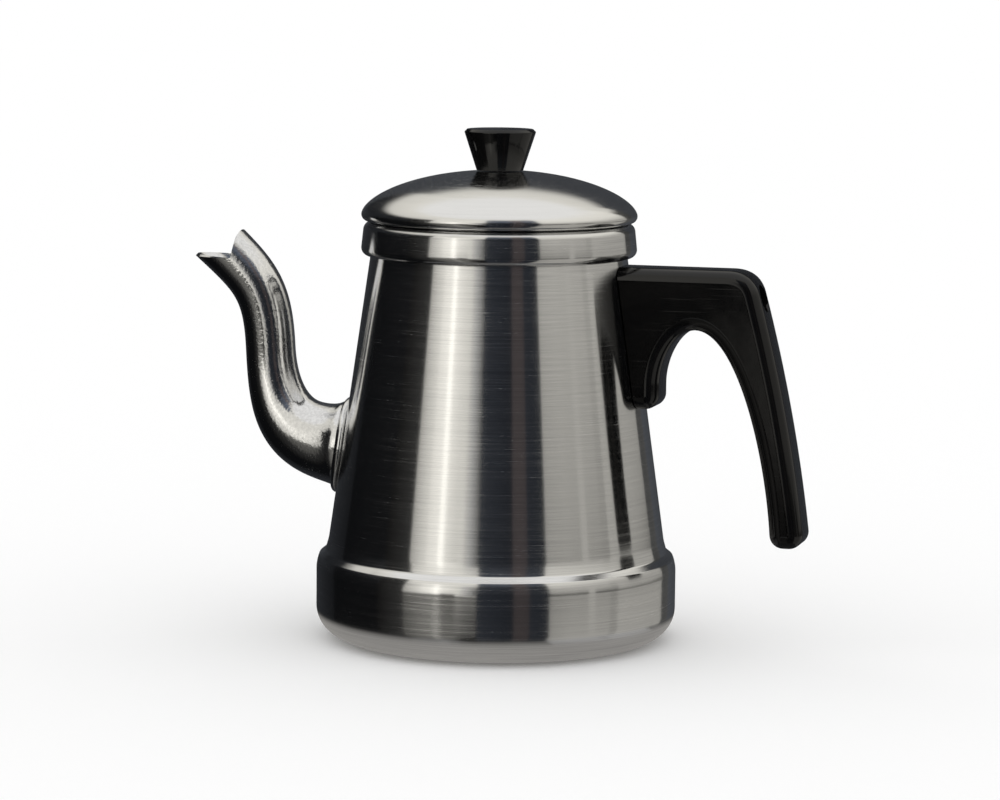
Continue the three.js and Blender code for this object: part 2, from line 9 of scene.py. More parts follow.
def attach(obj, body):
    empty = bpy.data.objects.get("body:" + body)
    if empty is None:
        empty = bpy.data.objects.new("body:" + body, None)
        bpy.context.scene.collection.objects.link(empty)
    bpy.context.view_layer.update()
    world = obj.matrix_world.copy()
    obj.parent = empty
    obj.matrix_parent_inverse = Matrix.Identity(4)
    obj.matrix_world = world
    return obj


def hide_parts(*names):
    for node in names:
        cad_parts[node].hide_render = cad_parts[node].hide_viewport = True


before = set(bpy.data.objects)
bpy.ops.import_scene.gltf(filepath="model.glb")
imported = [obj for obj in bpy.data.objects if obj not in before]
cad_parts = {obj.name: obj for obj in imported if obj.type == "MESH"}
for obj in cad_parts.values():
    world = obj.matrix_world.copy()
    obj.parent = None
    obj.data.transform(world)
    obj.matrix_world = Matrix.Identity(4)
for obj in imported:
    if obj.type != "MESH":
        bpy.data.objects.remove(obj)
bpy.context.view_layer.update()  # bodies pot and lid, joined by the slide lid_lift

print("frame loaded:", len(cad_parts), "nodes")

# Sizes of the pieces are in millimetres, as in the CAD source, and a finished mesh is scaled to
# metres. X runs from the spout to the handle and Z is the pot's axis.
millimetre = 0.001
weld = 0.002  # points nearer than this become one
gap = 0.3  # left between pieces that meet
cornerCuts = {"least": 4, "perMillimetre": 1.5}  # how finely a profile's corners are rounded


def newObject(name, data):
    made = bpy.data.objects.new(name, data)
    bpy.context.scene.collection.objects.link(made)
    return made


def shadeMesh(bm, sharpAngle):
    for face in bm.faces:
        face.smooth = True
    for edge in bm.edges:
        if len(edge.link_faces) == 2:
            edge.smooth = edge.calc_face_angle() < math.radians(sharpAngle)


def finishMesh(name, bm, sharpAngle=30):
    bmesh.ops.remove_doubles(bm, verts=bm.verts, dist=weld)
    bmesh.ops.recalc_face_normals(bm, faces=bm.faces)
    bmesh.ops.scale(bm, vec=(millimetre,) * 3, verts=bm.verts)
    shadeMesh(bm, sharpAngle)
    mesh = bpy.data.meshes.new(name)
    bm.to_mesh(mesh)
    bm.free()
    return newObject(name, mesh)


def cutAway(piece, cutters, sharpAngle=30):
    for cutter in cutters:
        cut = piece.modifiers.new("cut", "BOOLEAN")
        cut.operation = "DIFFERENCE"
        cut.solver = "EXACT"
        cut.object = cutter
    bpy.context.view_layer.update()
    done = piece.evaluated_get(bpy.context.evaluated_depsgraph_get())
    mesh = bpy.data.meshes.new_from_object(done)
    piece.modifiers.clear()
    bm = bmesh.new()
    bm.from_mesh(mesh)
    bmesh.ops.remove_doubles(bm, verts=bm.verts, dist=weld * millimetre)
    shadeMesh(bm, sharpAngle)
    bm.to_mesh(mesh)
    bm.free()
    mesh.name = piece.name
    piece.data = mesh
    for cutter in cutters:
        bpy.data.objects.remove(cutter)
    return piece


def paint(piece, material):
    piece.data.materials.clear()
    piece.data.materials.append(material)


# Gives a new piece its material and the body it moves with, and hides the CAD nodes it stands for
def dress(piece, material, mover, slot, *replaced):
    paint(piece, material)
    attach(piece, mover)
    if replaced:
        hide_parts(*replaced)
    print(piece.name, "made,", len(piece.data.polygons), "faces")


def roundCorner(bm, vert, radius):
    before, after = [(edge.other_vert(vert).co - vert.co).normalized() for edge in vert.link_edges]
    bend = math.pi - before.angle(after)
    bmesh.ops.bevel(
        bm, geom=[vert], offset=radius * math.tan(bend / 2), offset_type="OFFSET",
        segments=cornerCuts["least"] + int(radius * cornerCuts["perMillimetre"]),
        profile=0.5, affect="VERTICES", material=-1,
    )


# Draws a profile of (radius, height, rounding) corners, rounds them and turns it round the axis
def turn(corners, steps, closed=False, longEdges=None):
    bm = bmesh.new()
    verts = [bm.verts.new((x, 0, z)) for x, z, *rounding in corners]
    ends = verts[1:] + verts[:1] if closed else verts[1:]
    for pair in zip(verts, ends):
        bm.edges.new(pair)
    for vert, (x, z, *rounding) in zip(verts, corners):
        if rounding:
            roundCorner(bm, vert, rounding[0])
    if longEdges:
        tall = [edge for edge in bm.edges if edge.calc_length() > longEdges["over"]]
        bmesh.ops.subdivide_edges(bm, edges=tall, cuts=longEdges["cuts"])
    bmesh.ops.spin(
        bm, geom=bm.verts[:] + bm.edges[:], cent=(0, 0, 0), axis=(0, 0, 1),
        angle=2 * math.pi, steps=steps, use_merge=True, use_duplicate=False,
    )
    bmesh.ops.remove_doubles(bm, verts=bm.verts, dist=weld)
    return bm


# Body sizes; the spout and the handle lean on some of them
body = {
    "wall": 1.5,
    "drumRadius": 75, "drumTop": 31.4, "drumCorner": 14, "baseCorner": 13,
    "stepRadius": 73.8, "stepHeight": 34.1, "stepCorner": 2,
    "creaseRadius": 71.2, "creaseHeight": 36.1, "creaseCorner": 1.5,
    "coneFoot": 40, "coneFootRadius": 70, "footHeight": 40.6, "footCorner": 16,
    "neckHeight": 158.9, "neckRadius": 53.2,
    "height": 172.9, "bandStep": 4.2, "bandCorner": 3.2, "rimRound": 3.5, "mouthRadius": 51.4,
    "sides": 224, "longEdges": {"over": 20, "cuts": 18},
}
coneSlope = (body["coneFootRadius"] - body["neckRadius"]) / (body["neckHeight"] - body["coneFoot"])
coneAngle = math.atan(coneSlope)


def coneRadiusAt(z):
    return body["coneFootRadius"] - coneSlope * (z - body["coneFoot"])


# Turns and moves what is modelled round Z to a place on the wall; side is 1 for the handle's and
# -1 for the spout's
def onWall(side, height):
    out = Vector((side * math.cos(coneAngle), 0, math.sin(coneAngle)))
    sideways = Vector((0, 1, 0))
    down = sideways.cross(out)
    place = Matrix((down, sideways, out)).transposed().to_4x4()
    place.translation = (side * coneRadiusAt(height), 0, height)
    return place


cutterSizes = {"coneLow": 20, "coneHigh": 190, "coneSides": 256, "rodSides": 48}


# A solid cone whose side stands a little way out from the body's
def coneCutter(name, distance):
    extra = distance / math.cos(coneAngle)
    low, high = cutterSizes["coneLow"], cutterSizes["coneHigh"]
    bm = turn([
        (0, low), (coneRadiusAt(low) + extra, low), (coneRadiusAt(high) + extra, high), (0, high),
    ], cutterSizes["coneSides"])
    return finishMesh(name, bm)


def rodCutter(name, radius, low, high, place):
    bm = turn([(0, low), (radius, low), (radius, high), (0, high)], cutterSizes["rodSides"])
    bmesh.ops.transform(bm, matrix=place, verts=bm.verts)
    return finishMesh(name, bm)


# Helpers for shader nodes; a value is a number, a colour or another node's socket


def addNode(tree, kind, inputs=None, **settings):
    node = tree.nodes.new("ShaderNode" + kind)
    for key, value in settings.items():
        setattr(node, key, value)
    for key, value in (inputs or {}).items():
        if isinstance(value, bpy.types.NodeSocket):
            tree.links.new(value, node.inputs[key])
        else:
            node.inputs[key].default_value = value
    return node


def mathNode(tree, operation, first, second):
    return addNode(tree, "Math", {0: first, 1: second}, operation=operation).outputs[0]


# Adds a share of one value to another
def addShare(tree, base, value, share):
    return mathNode(tree, "ADD", base, mathNode(tree, "MULTIPLY", value, share))


# Stretches a value from one range to another
def rangeNode(tree, value, fromRange, toRange=(0.0, 1.0)):
    return addNode(tree, "MapRange", {
        "Value": value, "From Min": fromRange[0], "From Max": fromRange[1],
        "To Min": toRange[0], "To Max": toRange[1],
    }).outputs["Result"]


def blendColours(tree, factor, first, second):
    mix = addNode(tree, "Mix", data_type="RGBA")
    tree.links.new(factor, mix.inputs["Factor"])
    mix.inputs[6].default_value = (*first, 1)  # 6 and 7 are the colour sockets A and B
    mix.inputs[7].default_value = (*second, 1)
    return mix.outputs[2]


def newGroup(name, inputs, outputs):
    group = bpy.data.node_groups.new(name, "ShaderNodeTree")
    group.interface.new_socket("Vector", in_out="INPUT", socket_type="NodeSocketVector")
    for label, value in inputs.items():
        socket = group.interface.new_socket(label, in_out="INPUT", socket_type="NodeSocketFloat")
        socket.default_value = value
    for label in outputs:
        group.interface.new_socket(label, in_out="OUTPUT", socket_type="NodeSocketFloat")
    return group, group.nodes.new("NodeGroupInput"), group.nodes.new("NodeGroupOutput")


latheMarks = {
    "coneShare": 0.8, "roughness": 0.65,
    "coarseRings": 0.25, "coarseDetail": 2.0, "fineRings": 1.0, "fineDetail": 4.0,
}


# Fine rings left by the lathe: a noise stretched round the axis and crowded along the profile
def makeLatheLines():
    group, into, out = newGroup("latheLines", {"Rings": 2000.0, "Unevenness": 1.5},
                                ["Coarse", "Fine"])
    split = addNode(group, "SeparateXYZ", {0: into.outputs["Vector"]})
    flat = addNode(group, "CombineXYZ", {"X": split.outputs["X"], "Y": split.outputs["Y"]})
    radius = addNode(group, "VectorMath", {0: flat.outputs[0]}, operation="LENGTH").outputs["Value"]
    along = mathNode(group, "SUBTRACT", split.outputs["Z"],
                     mathNode(group, "MULTIPLY", radius, latheMarks["coneShare"]))
    unit = addNode(group, "VectorMath", {0: flat.outputs[0]}, operation="NORMALIZE")
    spread = addNode(group, "VectorMath", {0: unit.outputs[0]}, operation="SCALE")
    group.links.new(into.outputs["Unevenness"], spread.inputs["Scale"])
    around = addNode(group, "SeparateXYZ", {0: spread.outputs[0]})
    for label, share, detail in (
        ("Coarse", latheMarks["coarseRings"], latheMarks["coarseDetail"]),
        ("Fine", latheMarks["fineRings"], latheMarks["fineDetail"]),
    ):
        rings = mathNode(group, "MULTIPLY", into.outputs["Rings"], share)
        place = addNode(group, "CombineXYZ", {
            "X": around.outputs["X"], "Y": around.outputs["Y"],
            "Z": mathNode(group, "MULTIPLY", along, rings),
        })
        noise = addNode(group, "TexNoise", {
            "Vector": place.outputs[0], "Scale": 1.0, "Detail": detail,
            "Roughness": latheMarks["roughness"],
        })
        group.links.new(noise.outputs[0], out.inputs[label])
    return group


scratches = {
    "directions": ((0.0, 0.4, 0.3), (0.9, -0.5, 1.3), (-0.5, 1.1, 2.2)),
    "stretch": 70.0, "detail": 1.0, "shown": (0.72, 0.8),
}


# Short hairline scratches in a few directions, few and far apart
def makeHairlines():
    group, into, out = newGroup("hairlines", {"Scale": 60.0}, ["Value"])
    total = None
    for direction in scratches["directions"]:
        turned = addNode(group, "Mapping", {
            "Vector": into.outputs["Vector"], "Rotation": direction,
            "Scale": (1.0, scratches["stretch"], scratches["stretch"]),
        })
        noise = addNode(group, "TexNoise", {
            "Vector": turned.outputs[0], "Scale": into.outputs["Scale"],
            "Detail": scratches["detail"],
        })
        line = rangeNode(group, noise.outputs[0], scratches["shown"])
        total = line if total is None else mathNode(group, "MAXIMUM", total, line)
    group.links.new(total, out.inputs["Value"])
    return group


handling = {"detail": 5.0, "roughness": 0.6, "distortion": 0.6, "shown": (0.35, 0.7)}


# Soft uneven patches from handling
def makeSmudges():
    group, into, out = newGroup("smudges", {"Scale": 25.0}, ["Value"])
    noise = addNode(group, "TexNoise", {
        "Vector": into.outputs["Vector"], "Scale": into.outputs["Scale"],
        "Detail": handling["detail"], "Roughness": handling["roughness"],
        "Distortion": handling["distortion"],
    })
    patches = rangeNode(group, noise.outputs[0], handling["shown"])
    group.links.new(patches, out.inputs["Value"])
    return group


pebbles = {
    "detail": 1.0, "roughness": 0.5, "fineScale": 3.1, "fineShare": 0.12, "pits": (0.32, 0.25),
}


# The pebbled skin of a small casting, tumbled bright
def makeCastSkin():
    group, into, out = newGroup("castSkin", {"Scale": 400.0}, ["Height", "Pits"])
    coarse = addNode(group, "TexNoise", {
        "Vector": into.outputs["Vector"], "Scale": into.outputs["Scale"],
        "Detail": pebbles["detail"], "Roughness": pebbles["roughness"],
    })
    fine = addNode(group, "TexNoise", {
        "Vector": into.outputs["Vector"], "Detail": pebbles["detail"],
        "Scale": mathNode(group, "MULTIPLY", into.outputs["Scale"], pebbles["fineScale"]),
    })
    height = addShare(group, coarse.outputs[0], fine.outputs[0], pebbles["fineShare"])
    group.links.new(height, out.inputs["Height"])
    group.links.new(rangeNode(group, coarse.outputs[0], pebbles["pits"]), out.inputs["Pits"])
    return group


latheLines = makeLatheLines()
hairlines = makeHairlines()
smudges = makeSmudges()
castSkin = makeCastSkin()


def useGroup(tree, group, vector, **values):
    node = addNode(tree, "Group")
    node.node_tree = group
    tree.links.new(vector, node.inputs["Vector"])
    for key, value in values.items():
        node.inputs[key].default_value = value
    return node


def newMaterial(name, constants):
    material = bpy.data.materials.new(name)
    material.use_nodes = True
    tree = material.node_tree
    shader = tree.nodes["Principled BSDF"]
    for key, value in constants.items():
        shader.inputs[key].default_value = value
    place = addNode(tree, "TexCoord").outputs["Object"]
    return material, tree, shader, place


def bumpInto(tree, shader, height, distance):
    bump = addNode(tree, "Bump", {"Height": height, "Distance": distance, "Strength": 1.0})
    tree.links.new(bump.outputs[0], shader.inputs["Normal"])


spunLook = {
    "dark": (0.66, 0.662, 0.665), "light": (0.86, 0.86, 0.858), "rough": (0.11, 0.17),
    "anisotropic": 0.9, "turn": 0.25, "rings": 4200.0, "unevenness": 1.4,
    "coarseShare": 0.3, "fineShare": 0.7, "shadeRange": (0.35, 0.65), "roughRange": (0.3, 0.7),
    "spikes": 0.1, "spikeRange": (0.56, 0.72),
    "strokeRings": 5000.0, "strokeBreaks": 9.0, "strokeRange": (0.6, 0.7), "strokeRough": 0.08,
    "markScale": 55.0, "markRough": 0.05, "markDepth": 0.1,
    "smudgeScale": 22.0, "smudge": 0.02, "bump": 0.0000015,
}
polishedLook = dict(
    spunLook, dark=(0.77, 0.77, 0.765), light=(0.81, 0.81, 0.805), rough=(0.12, 0.155),
    anisotropic=0.2, rings=900.0, spikes=0.05, strokeRough=0.05, markScale=100.0, markRough=0.35,
    markDepth=0.4, smudge=0.01, bump=0.000001,
)
plainLook = dict(
    spunLook, dark=(0.62, 0.63, 0.64), light=(0.72, 0.73, 0.74), rough=(0.3, 0.38),
    anisotropic=0.0, rings=2600.0, spikes=0.1, bump=0.000003,
)
steelLook = dict(
    plainLook, dark=(0.50, 0.51, 0.52), light=(0.62, 0.63, 0.64), rough=(0.25, 0.34),
)
brassLook = dict(
    plainLook, dark=(0.60, 0.46, 0.22), light=(0.74, 0.60, 0.30), rough=(0.26, 0.36),
)


# Metal that was turned or brushed on a lathe
def lathedMetal(name, look):
    material, tree, shader, place = newMaterial(name, {
        "Metallic": 1.0, "Anisotropic": look["anisotropic"], "Anisotropic Rotation": look["turn"],
    })
    if look["anisotropic"]:
        tangent = addNode(tree, "Tangent", direction_type="RADIAL", axis="Z")
        tree.links.new(tangent.outputs[0], shader.inputs["Tangent"])
    lines = useGroup(tree, latheLines, place, Rings=look["rings"], Unevenness=look["unevenness"])
    strokes = useGroup(tree, latheLines, place,
                       Rings=look["strokeRings"], Unevenness=look["strokeBreaks"])
    strokes = rangeNode(tree, strokes.outputs["Fine"], look["strokeRange"])
    marks = useGroup(tree, hairlines, place, Scale=look["markScale"]).outputs[0]
    smudge = useGroup(tree, smudges, place, Scale=look["smudgeScale"]).outputs[0]
    tone = addShare(tree, mathNode(tree, "MULTIPLY", lines.outputs["Coarse"], look["coarseShare"]),
                    lines.outputs["Fine"], look["fineShare"])
    shade = rangeNode(tree, tone, look["shadeRange"])
    colour = blendColours(tree, shade, look["dark"], look["light"])
    tree.links.new(colour, shader.inputs["Base Color"])
    rough = rangeNode(tree, tone, look["roughRange"], look["rough"])
    spikes = rangeNode(tree, lines.outputs["Fine"], look["spikeRange"], (0.0, look["spikes"]))
    rough = mathNode(tree, "ADD", rough, spikes)
    rough = addShare(tree, rough, strokes, look["strokeRough"])
    rough = addShare(tree, rough, smudge, look["smudge"])
    rough = addShare(tree, rough, marks, look["markRough"])
    tree.links.new(rough, shader.inputs["Roughness"])
    height = addShare(tree, tone, marks, -look["markDepth"])
    bumpInto(tree, shader, height, look["bump"])
    return material


castLook = {
    "dark": (0.70, 0.702, 0.705), "light": (0.80, 0.802, 0.805), "shadeRange": (0.4, 0.75),
    "rough": (0.1, 0.17), "pitRough": 0.2, "skinScale": 900.0, "smudgeScale": 60.0, "bump": 0.00005,
}


def castMetal(name, look):
    material, tree, shader, place = newMaterial(name, {"Metallic": 1.0})
    skin = useGroup(tree, castSkin, place, Scale=look["skinScale"])
    smudge = useGroup(tree, smudges, place, Scale=look["smudgeScale"]).outputs[0]
    shade = rangeNode(tree, skin.outputs["Height"], look["shadeRange"])
    colour = blendColours(tree, shade, look["dark"], look["light"])
    tree.links.new(colour, shader.inputs["Base Color"])
    rough = rangeNode(tree, smudge, (0.0, 1.0), look["rough"])
    rough = addShare(tree, rough, skin.outputs["Pits"], look["pitRough"])
    tree.links.new(rough, shader.inputs["Roughness"])
    bumpInto(tree, shader, skin.outputs["Height"], look["bump"])
    return material


bakeliteLook = {
    "colour": (0.002, 0.002, 0.0022), "faded": (0.004, 0.0038, 0.0036), "rough": (0.055, 0.11),
    "ior": 1.5, "specular": 0.42, "markScale": 30.0, "markRough": 0.15, "markDepth": 0.2,
    "smudgeScale": 45.0, "waveScale": 90.0, "waveDetail": 2.0, "bump": 0.00002,
}


# Black phenolic moulding: gloss with faint waves from the mould and a few rub marks
def mouldedBlack(name, look):
    material, tree, shader, place = newMaterial(name, {
        "IOR": look["ior"], "Specular IOR Level": look["specular"],
    })
    marks = useGroup(tree, hairlines, place, Scale=look["markScale"]).outputs[0]
    smudge = useGroup(tree, smudges, place, Scale=look["smudgeScale"]).outputs[0]
    colour = blendColours(tree, smudge, look["colour"], look["faded"])
    tree.links.new(colour, shader.inputs["Base Color"])
    rough = rangeNode(tree, smudge, (0.0, 1.0), look["rough"])
    rough = addShare(tree, rough, marks, look["markRough"])
    tree.links.new(rough, shader.inputs["Roughness"])
    wave = addNode(tree, "TexNoise", {
        "Vector": place, "Scale": look["waveScale"], "Detail": look["waveDetail"],
    })
    height = addShare(tree, wave.outputs[0], marks, -look["markDepth"])
    bumpInto(tree, shader, height, look["bump"])
    return material


spunAluminium = lathedMetal("spunAluminium", spunLook)
polishedAluminium = lathedMetal("polishedAluminium", polishedLook)
plainAluminium = lathedMetal("plainAluminium", plainLook)
platedSteel = lathedMetal("platedSteel", steelLook)
turnedBrass = lathedMetal("turnedBrass", brassLook)
castAluminium = castMetal("castAluminium", castLook)
blackBakelite = mouldedBlack("blackBakelite", bakeliteLook)
print("materials made")


# Body: one spun sheet, from the middle of the base to the lip of the rim
def makeBody():
    bandRadius = body["neckRadius"] + body["bandStep"]
    rimRadius = bandRadius - coneSlope * (body["height"] - body["rimRound"] - body["neckHeight"])
    bm = turn([
        (0, 0),
        (body["drumRadius"], 0, body["baseCorner"]),
        (body["drumRadius"], body["drumTop"], body["drumCorner"]),
        (body["stepRadius"], body["stepHeight"], body["stepCorner"]),
        (body["creaseRadius"], body["creaseHeight"], body["creaseCorner"]),
        (coneRadiusAt(body["footHeight"]), body["footHeight"], body["footCorner"]),
        (body["neckRadius"], body["neckHeight"]),
        (bandRadius, body["neckHeight"], body["bandCorner"]),
        (rimRadius, body["height"], body["rimRound"]),
        (body["mouthRadius"], body["height"]),
    ], body["sides"], longEdges=body["longEdges"])
    bmesh.ops.recalc_face_normals(bm, faces=bm.faces)
    bmesh.ops.solidify(bm, geom=bm.faces[:], thickness=body["wall"])
    piece = finishMesh("pot_body", bm)
    neckHole = rodCutter("neckHole", spout["neckRadius"] + gap, -spout["neckIn"], spout["neckOut"],
                         onWall(-1, spout["height"]))
    return cutAway(piece, [neckHole])


# Spout: a casting that swells at its root, rises in an S and ends in an open beak. Places are given
# out from the wall and up from the root, and a pull is how far a curve keeps its direction.
spout = {
    "height": 77, "wall": 1.3, "rootRadius": 16.1, "riserRadius": 10.5, "mouthRadius": 11.2,
    "riserOut": 35.3, "riserUp": 40, "mouthOut": 62.2, "mouthUp": 87.3,
    "elbowPull": 24, "riserPull": 28.5, "leanPull": 26, "mouthPull": 25.6,
    "riserLean": 3, "mouthLean": 48.5,
    "rootHold": 1.15, "mouthHold": 2, "flare": 2.2, "flareStart": 3, "flareLength": 5,
    "tail": (0.9, 0.6, 0.3),  # rings behind the wall, as shares of the root's radius
    "notchOut": 49.6, "notchUp": 78, "jawLean": 8, "cutSlack": 0.0001, "cutWeld": 0.02,
    "beadPlace": 18.9, "beadRadius": 1.7, "beadLift": 0.9, "beadSides": 24, "beadSteps": 128,
    "neckRadius": 15.5, "neckIn": 20, "neckOut": 12,
    "sides": 96, "stations": 60, "sharpAngle": 40,
}


def spoutLine():
    wallOut = coneRadiusAt(spout["height"])
    lean = math.radians(spout["mouthLean"])
    slant = math.tan(math.radians(spout["riserLean"]))

    def at(out, up):
        return Vector((-wallOut - out, 0, spout["height"] + up))

    out, up = spout["riserOut"], spout["riserUp"]
    count = spout["stations"]
    elbow = interpolate_bezier(
        at(0, 0), at(spout["elbowPull"], 0),
        at(out - spout["riserPull"] * slant, up - spout["riserPull"]), at(out, up), count,
    )
    riser = interpolate_bezier(
        at(out, up), at(out + spout["leanPull"] * slant, up + spout["leanPull"]),
        at(spout["mouthOut"] - spout["mouthPull"] * math.sin(lean),
           spout["mouthUp"] - spout["mouthPull"] * math.cos(lean)),
        at(spout["mouthOut"], spout["mouthUp"]), count,
    )
    rootRadius, riserRadius = spout["rootRadius"], spout["riserRadius"]
    radii = []
    for i in range(count):
        share = (i / (count - 1)) ** spout["rootHold"]
        share = share * share * (3 - 2 * share)  # eases in and out
        past = max(0, (elbow[i] - elbow[0]).length - spout["flareStart"]) / spout["flareLength"]
        flare = spout["flare"] * math.exp(-past)
        radii.append(rootRadius + (riserRadius - rootRadius) * share + flare)
    for i in range(1, count):
        share = (i / (count - 1)) ** spout["mouthHold"]
        radii.append(riserRadius + (spout["mouthRadius"] - riserRadius) * share)
    return elbow + riser[1:], radii


def ringPlace(centre, direction, radius):
    across = Vector((0, 1, 0))
    other = direction.cross(across).normalized()
    turned = Matrix((other, across, direction.normalized())).transposed().to_4x4()
    return Matrix.Translation(centre) @ turned @ Matrix.Diagonal((radius, radius, 1, 1))


# Draws a round section along a line by extruding one ring from place to place
def sweep(centres, radii, sides):
    bm = bmesh.new()
    ring = bmesh.ops.create_circle(bm, segments=sides, radius=1, cap_ends=False)["verts"]
    last = None
    for i, (centre, radius) in enumerate(zip(centres, radii)):
        before = centres[max(i - 1, 0)]
        after = centres[min(i + 1, len(centres) - 1)]
        place = ringPlace(centre, after - before, radius)
        if last is None:
            bmesh.ops.transform(bm, matrix=place, verts=ring)
        else:
            rim = [edge for edge in bm.edges if ringSet.issuperset(edge.verts)]
            grown = bmesh.ops.extrude_edge_only(bm, edges=rim)["geom"]
            ring = [item for item in grown if isinstance(item, bmesh.types.BMVert)]
            bmesh.ops.transform(bm, matrix=place @ last.inverted(), verts=ring)
        ringSet = set(ring)
        last = place
    return bm


def makeSpout():
    centres, radii = spoutLine()
    tail = [centres[0] + Vector((spout["rootRadius"] * share, 0, 0)) for share in spout["tail"]]
    bm = sweep(tail + centres, radii[:1] * len(tail) + radii, spout["sides"])
    bmesh.ops.recalc_face_normals(bm, faces=bm.faces)

    # The beak: two cuts meet in a V, and what lies over the one and outside the other goes
    notch = Vector((
        -coneRadiusAt(spout["height"]) - spout["notchOut"], 0, spout["height"] + spout["notchUp"],
    ))
    lean = math.radians(spout["jawLean"])
    level = Vector((0, 0, 1))
    upright = Vector((-math.cos(lean), 0, math.sin(lean)))
    for side in (level, upright):
        bmesh.ops.bisect_plane(bm, geom=bm.verts[:] + bm.edges[:] + bm.faces[:],
                               dist=spout["cutSlack"], plane_co=notch, plane_no=side)
    gone = []
    for face in bm.faces:
        away = face.calc_center_median() - notch
        if away.dot(level) > 0 and away.dot(upright) > 0:
            gone.append(face)
    bmesh.ops.delete(bm, geom=gone, context="FACES")
    bmesh.ops.remove_doubles(bm, verts=bm.verts, dist=spout["cutWeld"])
    bmesh.ops.solidify(bm, geom=bm.faces[:], thickness=spout["wall"])
    piece = finishMesh("pot_spout", bm, spout["sharpAngle"])
    return cutAway(piece, [coneCutter("wallCutter", gap)], spout["sharpAngle"])


# The rounded ring cast round the spout's root
def makeBead():
    bm = bmesh.new()
    section = bmesh.ops.create_circle(
        bm, segments=spout["beadSides"], radius=spout["beadRadius"], cap_ends=False,
    )["verts"]
    stand = Matrix.Translation((spout["beadPlace"], 0, 0)) @ Matrix.Rotation(math.pi / 2, 4, "X")
    bmesh.ops.transform(bm, matrix=stand, verts=section)
    bmesh.ops.spin(bm, geom=bm.verts[:] + bm.edges[:], cent=(0, 0, 0), axis=(0, 0, 1),
                   angle=2 * math.pi, steps=spout["beadSteps"], use_merge=True)
    bmesh.ops.remove_doubles(bm, verts=bm.verts, dist=weld)
    bmesh.ops.recalc_face_normals(bm, faces=bm.faces)
    bmesh.ops.transform(bm, matrix=onWall(-1, spout["height"]), verts=bm.verts)
    lift = gap + spout["beadRadius"] * spout["beadLift"]
    radius = coneRadiusAt(spout["height"])
    for vert in bm.verts:  # lets the ring follow the round wall
        vert.co.x += radius - math.sqrt(radius ** 2 - vert.co.y ** 2) - lift
    return finishMesh("spout_bead", bm, spout["sharpAngle"])


# Handle: a flat moulding with rounded edges and a sunk panel on each side. Places are given out
# from the wall and down from its top.
handle = {
    "top": 156.5, "thickness": 22, "edge": 5, "edgeSteps": 8, "endRound": 5.6, "barStraight": 43,
    "footIn": 30, "cornerOut": 56.3, "cornerDrop": 9.2, "cornerTuck": 0.3,
    "crownOut": 30.1, "crownDrop": 24.9,
    "legOut": 15.2, "legStraightDrop": 48.2, "legLength": 58, "gripLength": 112.7,
    "gripEndOut": 76, "gripEndWidth": 13.7, "gripInnerLean": 4.2, "gripOuterLean": 7.2,
    "archSteepness": 0.47, "archFlatness": 0.56, "gripFlatness": 0.36, "gripSteepness": 0.43,
    "panelRim": 0.25, "panelDepth": 0.45, "panelInset": 0.3,
    "screwDrop": 11.5, "accessRadius": 5.5, "seatOut": 42,
    "arcCount": 12, "curveCount": 40, "leastStep": 0.05, "sharpAngle": 35,
}
screwHeight = handle["top"] - handle["screwDrop"]
handleWall = coneRadiusAt(screwHeight)


def arcPoints(x, z, radius, start, end):
    points = []
    for i in range(handle["arcCount"] + 1):
        angle = start + (end - start) * i / handle["arcCount"]
        points.append((x + radius * math.cos(angle), z + radius * math.sin(angle)))
    return points


def curvePoints(start, pullStart, pullEnd, end):
    knots = [Vector((x, z, 0)) for x, z in (start, pullStart, pullEnd, end)]
    return [(p.x, p.y) for p in interpolate_bezier(*knots, handle["curveCount"])]


